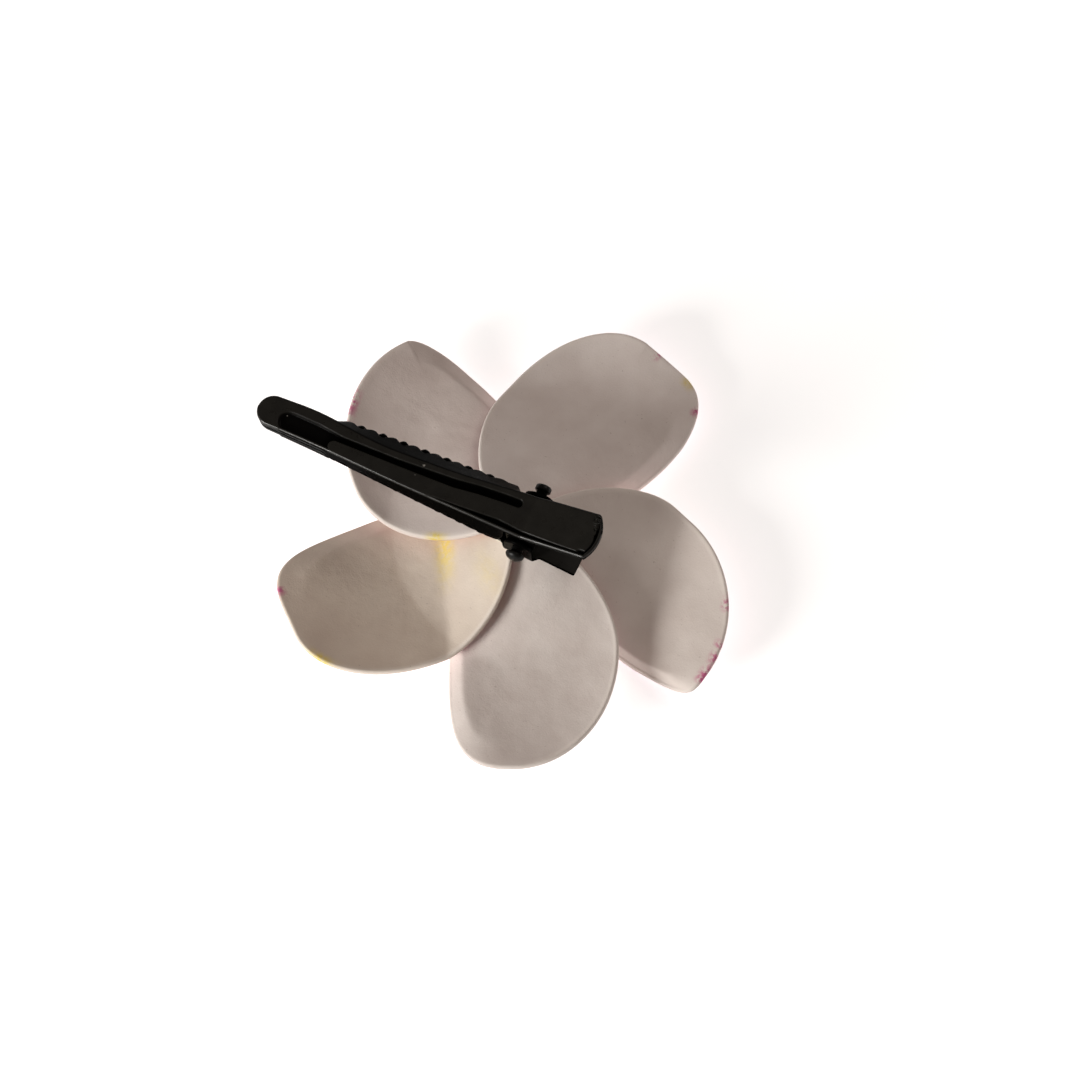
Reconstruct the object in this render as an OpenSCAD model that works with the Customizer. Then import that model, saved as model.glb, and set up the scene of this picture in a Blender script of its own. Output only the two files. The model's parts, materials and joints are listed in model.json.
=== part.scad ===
// Flower hair clip: a five-petal foam flower lying face down, with a sprung
// steel alligator clip glued across its back.
// +X runs along the clip from its tip to its tails, +Z points away from the
// flower's face, and the origin is under the middle of the whole outline, on
// the surface that the petals stand on. All sizes are in millimetres.

/* [Petals] */
// Distance from the flower's axis to a petal's tip
petal_reach = 36.6; // [30:0.2:44]
// Thickness of the foam sheet
petal_t = 1.6; // [1:0.1:2]
// Distance from the flower's axis to the widest part of a petal
belly_at = 17; // [14:0.5:20]
// Half width of a petal on the side that lies over its neighbour
full_side = 15.4; // [13:0.2:17]
// Half width of a petal on the side with the folded strip
fold_side = 11; // [9:0.2:12]
// Height of the flower's middle above the valley round it
centre_rise = 9.8; // [6:0.2:10.4]
// Mean radius of the valley round the flower's middle
valley_r = 23; // [20:0.5:25]
// How much wider and narrower the valley is on opposite sides
valley_shift = 5; // [0:0.5:6]
// Rise of the petals at 18 mm past the valley
end_curl = 4.5; // [2:0.5:7]
// Extra lift of a petal's free long edge
edge_lift = 1.2; // [0:0.2:2.4]
// Drop of the strip folded down along the other long edge
fold_drop = 1.8; // [0.6:0.2:2.4]
// Depth of the crease across each petal
crease_depth = 1.3; // [0:0.1:1.3]

/* [Clip] */
// Length of the jaws in front of the pivot
jaw_reach = 43.9; // [38:0.1:48]
// Length of the outer jaw's tail behind the pivot
tail_reach = 11; // [10:0.2:13]
// Length of the glued jaw's shorter tail behind the pivot
short_tail_reach = 8.8; // [7.4:0.2:9.8]
// Thickness of the pressed steel
steel_t = 0.6; // [0.5:0.05:0.7]
// Half width of the plates at the pivot
pivot_half = 3.4; // [3.3:0.05:3.5]
// Half width of the plates at the tail ends
tail_half = 3.5; // [3.4:0.1:4]
// Radius of the rounded tip
tip_r = 2.4; // [2.2:0.05:2.6]
// Height of a plate's outer surface above the mid plane at the tip
tip_h = 1.3; // [1.2:0.05:1.6]
// Height of a plate's outer surface above the mid plane at the pivot
pivot_h = 3.2; // [3.1:0.05:3.4]
// Angle of a tail to the mid plane
tail_angle = 16; // [11:0.5:17]
// Length of one tooth wave
tooth_pitch = 3.5; // [3:0.1:4]
// Height of the tooth wave each way from its middle
tooth_a = 0.35; // [0.2:0.05:0.4]
// Lean of the toothed flanges on the pin's domed side away from upright
near_flare = 18; // [14:1:22]
// Lean of the toothed flanges on the pin's flattened side away from upright
far_flare = 36; // [30:1:38]

/* [Pin and spring] */
// Diameter of the pivot pin
pin_d = 1.7; // [1.5:0.05:1.8]
// Distance from the clip's middle to the outer face of each pin head
pin_end = 6.1; // [5.8:0.1:6.6]
// Diameter of the domed head
head_d = 3; // [2.6:0.1:3.4]
// Diameter of the flattened head
peen_d = 2.4; // [2.1:0.1:2.8]
// Diameter of the spring wire
wire_d = 0.6; // [0.5:0.05:0.7]
// Turns of the spring's coil
coil_turns = 4; // [3:1:5]

/* [Hidden] */
$fn = 64;
tiny = 0.02;

// The flower's axis, set so that the whole outline is centred on the origin.
flower_x = 2.7;
flower_y = -2.55;
// The valley's upper surface stands this far above the flower's lowest point.
valley_z = 4.65;

// The petals, anticlockwise from the one under the tails. Each was shaped by
// hand, so each has its own direction, and its own share of the common reach
// and half widths.
petal_turn = [-12, 79.5, 139.5, 228, 293];
reach_share = [0.985, 1.075, 1.02, 0.985, 0.967];
full_share = [1.22, 0.955, 1.19, 0.805, 1.03];
fold_share = [0.455, 1.23, 0.89, 1.21, 0.89];
// How square each outline is at its corner, and how far the corner leans outwards.
corner_power = [8, 1.85, 1.6, 3.8, 4];
corner_lean = [-0.1, 0.9, -0.2, 0.1, -0.2];
// The crease across each petal: how far out it crosses the petal's middle
// line, its slope there and its share of the common depth.
crease_at = [24.6, 32.9, 28.7, 11.6, 17];
crease_slope = [-0.27, -0.85, 0, 0.39, 0];
crease_share = [1, 0.7, 0.6, 1, 0.4];
crease_width = 1;
crease_reach = 4;
crease_from_r = 6;
// Over one petal to the next the stack climbs by the sheet and a small gap.
fan_step = petal_t + 0.4;
petal_spacing = 72;
first_turn = 3;
// How square the outline is at the root.
root_power = 1.75;
root_gap = 0.5;
// How steeply the middle climbs out of the valley, the direction in which the
// valley is widest, and the run over which the petals rise by end_curl.
funnel_power = 1.5;
valley_side = 60;
curl_run = 18;
// The fold begins at this share of the way from a petal's middle to its rim.
fold_start = 0.8;
rim_steps = 40;
rings = [0.2, 0.4, 0.6, 0.8, 0.9, 1];

// The clip's frame: the pivot axis in the middle of the clip.
pivot_x = flower_x + 2.8;
pivot_y = flower_y - 0.2;
pivot_z = valley_z + 14.2;
jaw_slope = atan((pivot_h - tip_h) / jaw_reach);
tail_h = pivot_h + tail_reach * tan(tail_angle);
// The tips stand this far to the far side of the clip's middle line.
tip_y = 1.3;
teeth_from = -33;
teeth_to = -5.2;
tooth_gap = 0.5;
// The middles of the two toothed flanges at the mid plane, [near, far], at
// both ends of the teeth.
teeth_y_front = [-1.6, 4.2];
teeth_y_back = [-3.9, 4.6];
flare = [near_flare, far_flare];
tail_end_r = 5.6;
tail_lip = 1;
// The lip round the tail's end reaches this far forward.
tail_lip_reach = 2;
pin_clear = 0.05;
ear_r = 2.2;
ear_gap = 0.25;
outer_ear_y = pivot_half - steel_t / 2;
inner_ear_y = pivot_half + ear_gap + steel_t / 2;
// The pressed rib and the grooves along it.
rib_y = -0.8;
rib_half = 0.85;
rib_rise = 0.2;
rib_from = -29;
rib_to = -2.5;
groove_w = 0.9;
groove_depth = 0.25;
far_groove_from = -31;
far_groove_to = -2;
near_groove_from = -14;
near_groove_to = -0.6;
coil_r = 1.5;
leg_reach = 7;
// Space between the turns of the coil, and what each leg is let in by, in degrees.
turn_gap = 0.1;
leg_ease = 0.2;
// Angle between the points along the coil.
coil_step = 22.5;

// ---------------------------------------------------------------- petals

// Raises a sine or cosine to a power and keeps its sign.
function signed_power(v, p) = sign(v) * pow(abs(v), p);

// Point on the outline of petal k at angle a round the middle of its belly. The
// outline is a quarter of an oval in each quadrant, with its own power at the corner.
function petal_rim(a, k) =
    let (tip = cos(a) > 0)
    let (full = sin(a) > 0)
    let (power = 2 / (tip ? (full ? 2 : corner_power[k]) : root_power))
    let (along = tip ? petal_reach * reach_share[k] - belly_at : belly_at - root_gap)
    let (across = full ? full_side * full_share[k] : fold_side * fold_share[k])
    let (y = across * signed_power(sin(a), power))
    let (lean = full ? 0 : corner_lean[k] * y * y / across)
    [along * signed_power(cos(a), power) + lean, y];

// Height of the flower's back at distance r from its axis, in direction turn.
function back_profile(r, turn) =
    let (valley = valley_r + valley_shift * cos(turn - valley_side))
    let (bowl = centre_rise * pow(max(0, 1 - r / valley), funnel_power))
    let (past = max(0, r - valley) / curl_run)
    bowl + end_curl * past * past;

// How far the crease of petal k lowers the point p.
function crease_drop(p, k) =
    let (slope = crease_slope[k])
    let (away = (p[0] - crease_at[k] - slope * p[1]) / sqrt(1 + slope * slope))
    let (soft = sqrt(away * away + crease_width * crease_width) - crease_width)
    let (present = max(0, min(1, norm(p) / crease_from_r - 1)))
    crease_depth * crease_share[k] * exp(-soft / crease_reach) * present;

// How much of the fold is present at angle a: all of it along the folded side.
function fold_present(a) = pow(max(0, -sin(a)), 0.5);

// Point of the upper surface of petal k: ring share s of the way to the rim at angle a.
function petal_point(s, a, k) =
    let (p = [belly_at, 0] + s * petal_rim(a, k))
    let (turn = atan2(p[1], p[0]) + petal_turn[k])
    let (fan = fan_step * (turn - first_turn - petal_spacing * k) / petal_spacing)
    let (lift = edge_lift * pow(s, 4) * max(0, sin(a)))
    let (fold = fold_drop * max(0, s - fold_start) / (1 - fold_start) * fold_present(a))
    [p[0], p[1], back_profile(norm(p), turn) + fan + lift - fold - crease_drop(p, k)];

// A foam sheet of even thickness under the petal's upper surface.
module petal(k) {
    middle = [petal_point(0, 0, k)];
    top = concat(middle, [for (s = rings) for (i = [0 : rim_steps - 1])
        petal_point(s, 360 * i / rim_steps, k)]);
    count = len(top);
    points = concat(top, [for (p = top) p - [0, 0, petal_t]]);
    function at(ring, i) = 1 + ring * rim_steps + i % rim_steps;
    hub = [for (i = [0 : rim_steps - 1]) [0, at(0, i + 1), at(0, i)]];
    bands = [for (ring = [0 : len(rings) - 2]) for (i = [0 : rim_steps - 1]) each [
        [at(ring, i), at(ring, i + 1), at(ring + 1, i + 1)],
        [at(ring, i), at(ring + 1, i + 1), at(ring + 1, i)]]];
    upper = concat(hub, bands);
    lower = [for (f = upper) [f[2] + count, f[1] + count, f[0] + count]];
    rim = len(rings) - 1;
    edge = [for (i = [0 : rim_steps - 1]) each [
        [at(rim, i), at(rim, i + 1), at(rim, i + 1) + count],
        [at(rim, i), at(rim, i + 1) + count, at(rim, i) + count]]];
    color("linen")
    translate([flower_x, flower_y, valley_z])
    rotate([0, 0, petal_turn[k]])
    polyhedron(points, concat(upper, lower, edge), convexity = 6);
}

// The plug in the throat of the flower that holds the petal roots together.
module flower_core() {
    r = 3.2;
    edge = 1;
    high = centre_rise - 2.2;
    low = high - 4.6;
    color("gold")
    translate([flower_x, flower_y, valley_z])
    rotate_extrude()
    polygon([[0, low], [r - edge, low], [r, low + edge], [r, high - edge], [r - edge, high], [0, high]]);
}

// The disc of glue between the petal roots and the clip's inner jaw.
module glue_pad() {
    r = 3.8;
    edge = 0.6;
    wetting = 0.1;
    low = centre_rise - 3.4;
    high = pivot_z - valley_z - pivot_h + wetting;
    color("ivory")
    translate([flower_x, flower_y, valley_z])
    rotate_extrude()
    polygon([[0, low], [r, low], [r, high - edge], [r - edge, high], [0, high]]);
}

// ------------------------------------------------------------------ clip

module in_clip_frame() {
    translate([pivot_x, pivot_y, pivot_z]) children();
}

// Extrudes a side view, drawn in X and Z, to half width half on both sides.
module from_side(half) {
    rotate([90, 0, 0]) linear_extrude(2 * half, center = true) children();
}

// Height of the middle of a jaw's plate above the mid plane, in front of the pivot.
function plate_middle(x) = pivot_h + x * tan(jaw_slope) - steel_t / 2;

// The plate's edge at one end of the teeth, where a flange that leans by
// lean from y at the mid plane meets it.
function plate_edge(x, y, lean) =
    y - sign(y) * (plate_middle(x) * tan(lean) - steel_t / 2);

// A jaw seen from above, smaller by inset all round.
module jaw_outline(inset) {
    near = [
        [tip_r - jaw_reach, tip_y - tip_r],
        [teeth_from, plate_edge(teeth_from, teeth_y_front[0], near_flare)],
        [teeth_to, plate_edge(teeth_to, teeth_y_back[0], near_flare)],
        [0, -pivot_half],
        [tail_reach, -tail_half]];
    far = [
        [tail_reach, tail_half],
        [0, pivot_half],
        [teeth_to, plate_edge(teeth_to, teeth_y_back[1], far_flare)],
        [teeth_from, plate_edge(teeth_from, teeth_y_front[1], far_flare)],
        [tip_r - jaw_reach, tip_y + tip_r]];
    translate([tip_r - jaw_reach, tip_y]) circle(tip_r - inset);
    polygon(concat([for (p = near) p + [0, inset]], [for (p = far) p - [0, inset]]));
}

// The outline with the tail's end cut to an arc.
module round_ended_outline(inset) {
    intersection() {
        jaw_outline(inset);
        union() {
            translate([-jaw_reach, -2 * tail_half]) square([jaw_reach, 4 * tail_half]);
            translate([tail_reach - tail_end_r, 0]) circle(tail_end_r - inset);
        }
    }
}

// The bent plate from the tip to the tail.
module plate() {
    intersection() {
        from_side(2 * tail_half) polygon([
            [-jaw_reach, tip_h], [0, pivot_h], [tail_reach, tail_h],
            [tail_reach, tail_h - steel_t], [0, pivot_h - steel_t], [-jaw_reach, tip_h - steel_t]]);
        linear_extrude(tail_h) round_ended_outline(0);
    }
}

// The upright rim round the tip, in front of the teeth.
module tip_rim() {
    intersection() {
        linear_extrude(tail_h) difference() {
            jaw_outline(0);
            jaw_outline(steel_t);
        }
        from_side(2 * tail_half) polygon([
            [-jaw_reach, tooth_gap / 2], [teeth_from + tiny, tooth_gap / 2],
            [teeth_from + tiny, tip_h], [-jaw_reach, tip_h - steel_t / 2]]);
    }
}

// One leaning flange, with a waved lower edge. wave is 1 or -1, so that the
// two jaws mesh; side is 0 for the near flange and 1 for the far one.
module toothed_flange(side, wave) {
    length = teeth_to - teeth_from;
    splay = atan((teeth_y_back[side] - teeth_y_front[side]) / length);
    waves = round(length / tooth_pitch);
    points_per_wave = 8;
    last = waves * points_per_wave;
    stretch = 1 / cos(flare[side]);
    lean = flare[side] * sign(teeth_y_back[side]);
    lower = [for (i = [0 : last]) [
        length * i / last,
        stretch * (tooth_gap / 2 + wave * tooth_a * sin(360 * i / points_per_wave))]];
    translate([teeth_from, teeth_y_front[side], 0])
    rotate([0, 0, splay])
    rotate([lean, 0, 0])
    from_side(steel_t / 2)
    polygon(concat(lower, [
        [length, stretch * plate_middle(teeth_to)],
        [0, stretch * plate_middle(teeth_from)]]));
}

// A pair of ears that hang from the plate and take the pin, at distance y.
module ears(y) {
    for (side = [-1, 1])
        translate([0, side * y, 0])
        from_side(steel_t / 2) {
            circle(ear_r);
            translate([-ear_r, 0]) square([2 * ear_r, pivot_h - steel_t / 2]);
        }
}

// The lip turned in round the tail's rounded end.
module tail_end_lip() {
    intersection() {
        linear_extrude(tail_h) difference() {
            round_ended_outline(0);
            round_ended_outline(steel_t);
        }
        from_side(2 * tail_half) polygon([
            [tail_reach - tail_lip_reach, tail_h - tail_lip - steel_t],
            [tail_reach, tail_h - tail_lip - steel_t],
            [tail_reach, tail_h - steel_t / 2],
            [tail_reach - tail_lip_reach, tail_h - steel_t - tail_lip_reach * tan(tail_angle) / 2]]);
    }
}

// A bar with round ends, from x0 to x1 at distance y, as tall as the plate's step.
module rounded_bar(x0, x1, y, half, height) {
    linear_extrude(height) {
        translate([x0 + half, y - half]) square([x1 - x0 - 2 * half, 2 * half]);
        for (x = [x0 + half, x1 - half])
            translate([x, y]) circle(half);
    }
}

// Puts children on the jaw plate's outer surface, at depth below it.
module on_plate(depth) {
    translate([0, 0, pivot_h]) rotate([0, -jaw_slope, 0]) translate([0, 0, -depth]) children();
}

// The pressed pattern: a groove along each side of a raised middle rib.
module pressed_grooves() {
    away = rib_half + groove_w / 2;
    on_plate(groove_depth) {
        rounded_bar(far_groove_from, far_groove_to, rib_y + away, groove_w / 2, 1);
        rounded_bar(near_groove_from, near_groove_to, rib_y - away, groove_w / 2, 1);
    }
}

module pressed_rib() {
    on_plate(steel_t / 2) rounded_bar(rib_from, rib_to, rib_y, rib_half, steel_t / 2 + rib_rise);
}

module pin_holes() {
    from_side(2 * inner_ear_y) circle(pin_d / 2 + pin_clear);
}

// One jaw, with its plate up. wave sets the phase of its teeth.
module jaw(ear_y, wave) {
    difference() {
        union() {
            plate();
            tip_rim();
            for (side = [0, 1]) toothed_flange(side, wave);
            ears(ear_y);
            tail_end_lip();
            pressed_rib();
        }
        pressed_grooves();
        pin_holes();
    }
}

// The shoulders that carry the wider pair of ears out past the other jaw.
module ear_shoulders() {
    inside = pivot_half - steel_t;
    outside = inner_ear_y + steel_t / 2;
    for (side = [-1, 1])
        translate([0, side * (inside + outside) / 2, 0])
        from_side((outside - inside) / 2)
        translate([-ear_r, pivot_h - steel_t]) square([2 * ear_r, steel_t]);
}

module outer_jaw() {
    color([0.1, 0.1, 0.1]) in_clip_frame() jaw(outer_ear_y, 1);
}

module inner_jaw() {
    color([0.15, 0.15, 0.15]) in_clip_frame() mirror([0, 0, 1])
    difference() {
        union() {
            jaw(inner_ear_y, -1);
            ear_shoulders();
        }
        // Its tail is cut straight across, short of the other's.
        translate([short_tail_reach, -2 * tail_half, 0]) cube([tail_reach, 4 * tail_half, 2 * tail_h]);
    }
}

// The pin through all four ears, with a domed head and a flattened one.
module pivot_pin() {
    dome_h = 1;
    neck_step = 0.2;
    peen_h = 0.9;
    peen_edge = 0.15;
    r = pin_d / 2;
    head_r = head_d / 2;
    peen_r = peen_d / 2;
    end = 2 * pin_end;
    color([0.2, 0.2, 0.2]) in_clip_frame()
    rotate([-90, 0, 0])
    translate([0, 0, -pin_end])
    rotate_extrude()
    polygon(concat(
        [[0, 0]],
        [for (a = [15 : 15 : 90]) [head_r * sin(a), dome_h * (1 - cos(a))]],
        [[r, dome_h + neck_step], [r, end - peen_h], [peen_r, end - peen_h + peen_edge],
         [peen_r, end - peen_edge], [peen_r - peen_edge, end], [0, end]]));
}

// ---------------------------------------------------------------- spring

// Angle of each leg to the mid plane, with its end against the inside of a tail.
inner_face = (pivot_h - steel_t) * cos(tail_angle);
leg_angle = tail_angle + asin((inner_face - wire_d / 2 - coil_r) / leg_reach) - leg_ease;
coil_start = 90 + leg_angle;
coil_sweep = 360 * (coil_turns - 1) + 180 - 2 * leg_angle;
coil_width = (wire_d + turn_gap) * coil_sweep / 360;

function around_pin(a) = [cos(a), 0, sin(a)];

// The wire's middle line, as [point, direction away from the coil's middle]:
// a leg along the upper tail, the coil round the pin and a leg along the lower.
function spring_line() =
    let (steps = round(coil_sweep / coil_step))
    let (coil = [for (i = [0 : steps])
        let (a = coil_start + coil_sweep * i / steps)
        [coil_r * around_pin(a) + [0, coil_width * (i / steps - 0.5), 0], around_pin(a)]])
    let (upper = coil[0][0] + leg_reach * around_pin(leg_angle))
    let (lower = coil[steps][0] + leg_reach * around_pin(-leg_angle))
    concat([[upper, coil[0][1]]], coil, [[lower, coil[steps][1]]]);

// The spring as a round wire swept along its middle line.
module torsion_spring() {
    sides = 8;
    line = spring_line();
    last = len(line) - 1;
    points = [for (p = line) for (j = [0 : sides - 1])
        p[0] + wire_d / 2 * (cos(360 * j / sides) * p[1] + sin(360 * j / sides) * [0, 1, 0])];
    walls = [for (i = [0 : last - 1]) for (j = [0 : sides - 1])
        let (next = (j + 1) % sides)
        each [
            [i * sides + j, (i + 1) * sides + next, i * sides + next],
            [i * sides + j, (i + 1) * sides + j, (i + 1) * sides + next]]];
    first_cap = [for (j = [0 : sides - 1]) j];
    last_cap = [for (j = [sides - 1 : -1 : 0]) last * sides + j];
    color("silver") in_clip_frame() polyhedron(points, concat(walls, [first_cap, last_cap]));
}

petal(0);  // petal_1
petal(1);  // petal_2
petal(2);  // petal_3
petal(3);  // petal_4
petal(4);  // petal_5
flower_core();
glue_pad();
inner_jaw();
outer_jaw();
pivot_pin();
torsion_spring();
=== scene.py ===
import json
import math

import bpy
import numpy as np
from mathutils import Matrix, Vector, noise


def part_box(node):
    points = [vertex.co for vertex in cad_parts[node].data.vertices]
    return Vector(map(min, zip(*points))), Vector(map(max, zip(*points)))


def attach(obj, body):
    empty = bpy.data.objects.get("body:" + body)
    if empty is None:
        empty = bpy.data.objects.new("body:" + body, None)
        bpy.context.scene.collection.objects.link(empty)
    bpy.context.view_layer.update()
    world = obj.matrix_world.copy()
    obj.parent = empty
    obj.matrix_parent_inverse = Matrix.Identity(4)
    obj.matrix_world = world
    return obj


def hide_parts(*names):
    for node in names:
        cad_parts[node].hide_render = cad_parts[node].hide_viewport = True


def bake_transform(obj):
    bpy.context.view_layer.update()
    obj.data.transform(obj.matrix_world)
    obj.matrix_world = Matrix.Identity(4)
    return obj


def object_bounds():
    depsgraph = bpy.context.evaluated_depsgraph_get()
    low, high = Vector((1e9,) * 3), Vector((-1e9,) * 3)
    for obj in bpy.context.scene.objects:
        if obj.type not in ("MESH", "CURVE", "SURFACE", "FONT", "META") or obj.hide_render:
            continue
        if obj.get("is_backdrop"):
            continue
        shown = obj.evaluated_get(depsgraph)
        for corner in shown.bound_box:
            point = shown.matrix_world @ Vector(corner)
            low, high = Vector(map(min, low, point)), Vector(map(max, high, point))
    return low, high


# A flower hair clip: five foam petals lying face down round a throat plug, and a sprung steel
# clip glued across their back. Shapes are worked out in millimetres, in the flower's frame
# (origin on its axis, at the height of the valley round its middle) or in the clip's (origin
# in the middle of the pivot pin), and turned into metres as each mesh is made.

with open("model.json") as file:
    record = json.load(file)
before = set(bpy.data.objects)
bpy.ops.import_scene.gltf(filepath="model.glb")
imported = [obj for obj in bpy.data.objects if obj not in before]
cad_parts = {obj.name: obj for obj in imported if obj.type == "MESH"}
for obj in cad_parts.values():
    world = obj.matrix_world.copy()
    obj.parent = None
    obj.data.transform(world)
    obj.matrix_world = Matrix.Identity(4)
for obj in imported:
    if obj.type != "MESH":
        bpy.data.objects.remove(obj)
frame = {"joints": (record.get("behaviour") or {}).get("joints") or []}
cad_low, cad_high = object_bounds()
MM = 0.001

FLOWER_BODY = "flower_side"
LEVER_BODY = "lever_side"
pivot = Vector(frame["joints"][0]["pos_m"])
core_low, core_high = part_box("flower_core")

# ------------------------------------------------------------------ the petals' sizes, in mm
# The reach, the sheet's thickness, where a petal is widest and its half width on each side.
PETAL_REACH = 36.6
PETAL_T = 1.6
BELLY_AT = 17.0
FULL_SIDE = 15.4
FOLD_SIDE = 11.0
# How square the outline is at the root, and how near the axis it comes.
ROOT_POWER = 1.75
ROOT_GAP = 0.5
# The middle rises out of a valley that is wider towards VALLEY_SIDE, and the tips curl up again.
CENTRE_RISE = 9.8
FUNNEL_POWER = 1.5
VALLEY_R = 23.0
VALLEY_SHIFT = 5.0
VALLEY_SIDE = 60
END_CURL = 4.5
CURL_RUN = 18.0
# One long edge lifts, and the other is folded down from FOLD_START of the way to the rim.
EDGE_LIFT = 1.2
FOLD_DROP = 1.8
FOLD_START = 0.8
FOLD_SOFTNESS = 0.03
CREASE_DEPTH = 1.3
CREASE_WIDTH = 0.8
CREASE_REACH = 4.0
CREASE_FROM_R = 6.0
# The foam's own unevenness: broad waves and small dimples.
WAVE_HEIGHT = 0.16
WAVE_SIZE = 8.0
DIMPLE_HEIGHT = 0.035
DIMPLE_SIZE = 1.8
# Over one petal to the next the stack climbs by the sheet and a small gap.
FAN_STEP = PETAL_T + 0.4
PETAL_SPACING = 72
FIRST_TURN = 3
PIVOT_ABOVE_VALLEY = 14.2
# Points round a petal, levels round its half-round rim, and how far that rim stands out.
AROUND = 240
RIM_LEVELS = 7
RIM_OUT = PETAL_T / 4

# Each petal was shaped one by one: its direction in degrees, its shares of the common reach and
# half widths, how square its corner is and how far that leans out, and its crease (where it
# crosses the petal's middle line, its slope there and its share of the depth). Its foam is tinted
# too: lighter or darker from petal to petal, as painted light and shade, and yellower on the fourth.
PETALS = [
    {"turn": -12, "reach": 0.985, "full": 1.22, "fold": 0.455, "power": 8, "lean": -0.1,
     "crease": (24.6, -0.27, 1.0), "tint": (1.02, 1.01, 0.99)},
    {"turn": 79.5, "reach": 1.075, "full": 0.955, "fold": 1.23, "power": 1.85, "lean": 0.9,
     "crease": (32.9, -0.85, 0.7), "tint": (1.14, 1.14, 1.14)},
    {"turn": 139.5, "reach": 1.02, "full": 1.19, "fold": 0.89, "power": 1.6, "lean": -0.2,
     "crease": (28.7, 0.0, 0.6), "tint": (0.93, 0.90, 0.89)},
    {"turn": 228, "reach": 0.985, "full": 0.805, "fold": 1.21, "power": 3.8, "lean": 0.1,
     "crease": (11.6, 0.39, 1.0), "tint": (0.98, 0.93, 0.84)},
    {"turn": 293, "reach": 0.967, "full": 1.03, "fold": 0.89, "power": 4, "lean": -0.2,
     "crease": (17.0, 0.0, 0.4), "tint": (0.94, 0.93, 0.92)}]
# Paint that ran over the rims from the front: (petal, rim angle in degrees, half width).
PINK_SPOTS = [(0, 33, 3), (0, 13, 2), (0, 6, 3), (0, 359, 3), (1, 291, 3), (1, 348, 2),
              (2, 44, 7), (3, 340, 4)]
YELLOW_SPOTS = [(1, 316, 5), (3, 25, 8), (2, 141, 4)]
STAINED_PETAL = 3
# Shares of the way to the rim where that paint begins, and where the painted highlight along the lifted
# edge begins.
PAINT_FROM = 0.93
LIT_EDGE_FROM = 0.955
LIT_EDGE_RUN = 0.03

# ------------------------------------------------------------------ the clip's sizes, in mm
JAW_REACH = 43.9
TAIL_REACH = 11.0
TAIL_END_R = 5.6
# The glued jaw's tail is shorter, with a nearly straight end and plain edges.
SHORT_TAIL_REACH = 8.8
PLAIN_END_R = 30.0
STEEL_T = 0.6
# The visual's sheet is a little thinner, and its bends and lips are these.
DRAWN_STEEL_T = 0.55
NEAR_BEND_R = 0.35
FAR_BEND_R = 0.5
PLAIN_BEND_R = 0.15
SIDE_LIP = 0.35
END_LIP = 0.75
PLAIN_LIP = 0.05
# Points of the two halves of a plate that lie this close on its middle line are joined.
JOIN_WITHIN = 0.005
PIVOT_HALF = 3.4
TAIL_HALF = 3.5
TIP_R = 2.4
TIP_Y = 1.3
TIP_X = TIP_R - JAW_REACH
TIP_H = 1.3
PIVOT_H = 3.2
TAIL_SLOPE = math.tan(math.radians(16))
JAW_SLOPE = (PIVOT_H - TIP_H) / JAW_REACH
# The waved edge, which runs on plain from TEETH_TO to the ears.
TEETH_FROM = -33.0
TEETH_TO = -5.2
FLANGE_TO = -2.7
TOOTH_WAVES = 8
TOOTH_A = 0.35
TOOTH_GAP = 0.5
# The plate's edges and the lines of the teeth from above, as x and y, near side then far side.
NEAR_EDGE = ((TIP_X, -33, -20, -9, TEETH_TO, 0, TAIL_REACH),
             (TIP_Y - TIP_R, -1.45, -2.4, -2.95, -3.15, -PIVOT_HALF, -TAIL_HALF))
FAR_EDGE = ((TIP_X, -35, -30, -24, -12, TEETH_TO, 0, TAIL_REACH),
            (TIP_Y + TIP_R, 3.8, 3.1, 2.4, 2.55, 3.05, PIVOT_HALF, TAIL_HALF))
NEAR_TEETH = ((TEETH_FROM, TEETH_TO), (-1.85, -4.15))
FAR_TEETH = ((TEETH_FROM, TEETH_TO), (4.4, 4.8))
# The pressed channel with a rib along it: the lines of their long sides, as x and y, and their
# rounded ends.
CHANNEL_FAR = ((-38, -34, -30, -21, -12, -8, -4), (2.1, 1.9, 1.35, 1.2, 1.5, 1.9, 2.05))
RIB_NEAR = ((-31, -24, -16, -9, -4, 0, 5, 10), (-1.3, -1.9, -2.3, -2.1, -1.9, -2.35, -2.65, -2.8))
RIB_FAR = ((-30, -20, -12, -8, -4), (0.2, 0.05, 0.0, 0.4, 0.6))
CHANNEL_FRONT = -40.2
RIB_FRONT = -31.5
FAR_GROOVE_END = -1.4
PRESSED_DEPTH = 0.6
WALL_RUN = 0.3
PLATE_MARGIN = 0.3
# A narrow valley runs round the tail's end from TAIL_VALLEY_FROM, between two distances from its edge.
TAIL_VALLEY_FROM = 8.2
TAIL_VALLEY_EDGES = (0.35, 1.15)
TAIL_VALLEY_FAR_Y = 2.7
# The attribute that paints light on the black enamel is 0 on the near bend, for a painted glint, this on
# the plate, and up to 1 in the grooves, round the far bend and down all that hangs from the bends, for
# painted shade.
OPEN_FACE = 0.2
EAR_R = 2.2
EAR_GAP = 0.25
PIN_D = 1.7
PIN_END = 6.1
HEAD_D = 2.8
PEEN_D = 2.4
WIRE_D = 0.6
TURN_GAP = 0.1
COIL_TURNS = 4
COIL_R = 1.5
LEG_REACH = 7.0
# Each leg is let in by this many degrees.
LEG_EASE = 0.2

flower = Vector(((core_low.x + core_high.x) / 2, (core_low.y + core_high.y) / 2,
                 pivot.z - PIVOT_ABOVE_VALLEY * MM))


# ------------------------------------------------------------------ mesh helpers
def smooth(t):
    t = np.clip(t, 0, 1)
    return t * t * (3 - 2 * t)


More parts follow.
